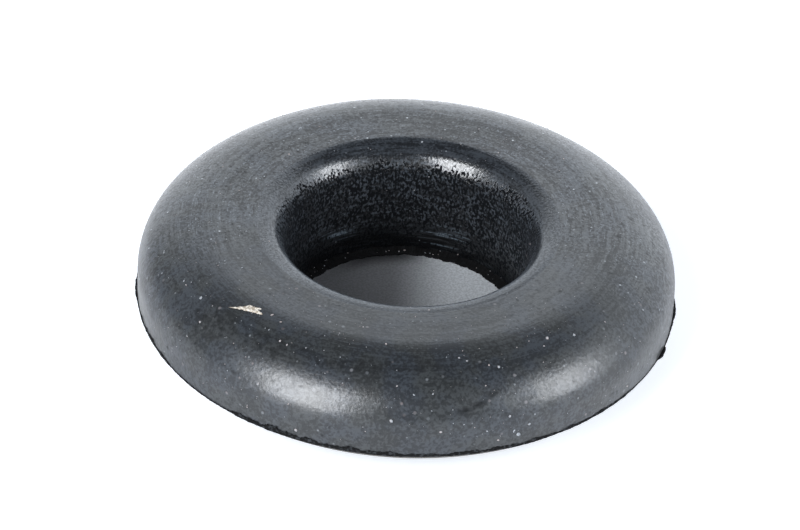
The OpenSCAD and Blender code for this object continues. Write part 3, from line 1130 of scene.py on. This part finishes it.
def white_paper():
    """White paper with a slight sheen, grey with painted shade where it shows through the bore, glowing away
    from the ring.
    """
    made = bpy.data.materials.new("white_paper")
    tree = empty_tree(made)
    place = add(tree, "place")
    parts = add(tree, "parts", place)
    sideways, away = parts.outputs["X"], parts.outputs["Y"]
    distance = add(tree, "length", place)

    # Through the bore: painted shade, dark on the left and paler on the right, with a fine grain
    shade = add(tree, "blend", add(tree, "ease", sideways, *DARK_TO_PALE), "#747578", "#d6dade")
    grain = add(tree, "noise", place, 1 / PAPER_GRAIN, 3)
    shade = add(tree, "blend", add(tree, "ease", grain, 0.35, 0.65, 0.0, 0.28), shade, "#2a2a2b")
    # A painted soft shadow at the far left edge
    edge = add(tree, "ease", distance, *SHADOW_OUT, 0.0, 0.8)
    far_edge = add(tree, "times", edge, add(tree, "ease", away, *SHADOW_AWAY))
    right_end = add(tree, "ease", sideways, *SHADOW_RIGHT, 1.0, 0.0)
    both_ends = add(tree, "times", right_end, add(tree, "ease", sideways, *SHADOW_LEFT))
    shade = add(tree, "blend", add(tree, "times", far_edge, both_ends), shade, "#101011")
    # Outside the bore, and the glow that sets in beyond it
    colour = add(tree, "blend", add(tree, "ease", distance, *OUTSIDE), shade, "#e9ebef")
    glowing = add(tree, "ease", distance, *GLOWING, 0.0, 0.56)
    glow = add(tree, "glow", "#f6faff", add(tree, "times", glowing, add(tree, "camera ray")))
    paper = add(tree, "principled", inputs={
        "Base Color": colour, "Roughness": 0.55, "IOR": 1.5, "Specular IOR Level": 0.4})
    add(tree, "surface", add(tree, "both shaders", paper, glow))
    return made


floor_mesh.materials.append(white_paper())
print(f"white paper, {BORE_R / MM:.1f} mm of it to each side inside the bore")

# %% [markdown]
# ## Room light
#
# The light is a plain studio: a dim room with a dark ceiling, a brighter wall on the right and a white board
# behind. It could be an image of a room, but a few smooth steps of brightness by direction are enough. The
# flat top mirrors the board at a slant and looks grey, while the near shoulder mirrors the ceiling and shows
# a dark band. That band, more than any colour, is what says how round the shoulder is. The wall also glows
# around each soft box, as a real one does, so that the highlights fade out softly.

# %% Room light
WALL_LIGHT, RIGHT_LIGHT, BOARD_LIGHT, CEILING_LIGHT = 0.3, 1.1, 1.2, 0.03
WALL_TOP, CEILING_START = math.sin(math.radians(42)), math.sin(math.radians(54))
BOARD_AZIMUTH = 166
# The right wall and the board set in between these two shares of the way towards them.
RIGHT_EDGE, BOARD_EDGE = (0.3, 0.9), (0.4, 0.8)
# Glows: azimuth and elevation of the middle in degrees, and strength
GLOWS = [(-41, 25, 1.5), (71, 22, 1.0)]
GLOW_EDGE, GLOW_FULL = math.cos(math.radians(36)), math.cos(math.radians(14))

world = bpy.data.worlds.new("white_room")
bpy.context.scene.world = world
room = empty_tree(world)
direction = add(room, "direction")
heading = add(room, "parts", direction)
side_light = add(room, "ease", heading.outputs["X"], *RIGHT_EDGE, WALL_LIGHT, RIGHT_LIGHT)
to_board = add(room, "dot product", direction, toward(BOARD_AZIMUTH, 0))
wall_light = add(room, "ease", to_board, *BOARD_EDGE, side_light, BOARD_LIGHT)
light = add(room, "ease", heading.outputs["Z"], WALL_TOP, CEILING_START, wall_light, CEILING_LIGHT)
for azimuth, elevation, strength in GLOWS:
    to_middle = add(room, "dot product", direction, toward(azimuth, elevation))
    light = add(room, "times and plus", add(room, "ease", to_middle, GLOW_EDGE, GLOW_FULL), strength, light)
lit = add(room, "background", "#eef6ff", light)
white = add(room, "background", "#ffffff", 1.0)
add(room, "world", add(room, "shader between", add(room, "camera ray"), lit, white))
print(f"{world.name}: {len(room.nodes)} nodes")

# %% [markdown]
# ## Soft boxes
#
# Two tall soft boxes stand in front, one low on the left and a smaller one low on the right, and each leans a
# little. A point lamp would give a hard glint. On a rough skin a box gives a broad soft one, and its height,
# width and lean shape the two highlights of the near shoulder.

# %% Soft boxes
LAMP_DISTANCE = 0.8
LAMP_COLOUR = "#fafcff"


def soft_box(name, azimuth, elevation, wide, tall, lean, radiance):
    """Rectangular area lamp aimed at the ring, from a direction as in toward().

    wide and tall are the angles it fills, so its sides are 2 * distance * tan(angle / 2), and its power is
    pi * area * radiance. It is turned about the line to the ring by the angle lean. Angles are in degrees.
    """
    place = toward(azimuth, elevation) * LAMP_DISTANCE
    lamp = put_in_scene(name, bpy.data.lights.new(name, "AREA"))
    lamp.data.shape = "RECTANGLE"
    lamp.data.size = 2 * LAMP_DISTANCE * math.tan(math.radians(wide) / 2)
    lamp.data.size_y = 2 * LAMP_DISTANCE * math.tan(math.radians(tall) / 2)
    lamp.data.energy = math.pi * lamp.data.size * lamp.data.size_y * radiance
    lamp.data.color = linear(LAMP_COLOUR)[:3]
    aimed = (-place).to_track_quat("-Z", "Y").to_matrix().to_4x4()
    lamp.location = place
    lamp.rotation_euler = (Matrix.Rotation(math.radians(lean), 4, place) @ aimed).to_euler()
    print(f"{name}: {lamp.data.size:.2f} by {lamp.data.size_y:.2f} m, {lamp.data.energy:.1f} W")


soft_box("left_soft_box", azimuth=-40, elevation=26.5, wide=31, tall=51, lean=7, radiance=9.1)
soft_box("right_soft_box", azimuth=71, elevation=22, wide=23, tall=40, lean=-15, radiance=5.9)
bpy.context.scene.view_settings.view_transform = "Standard"
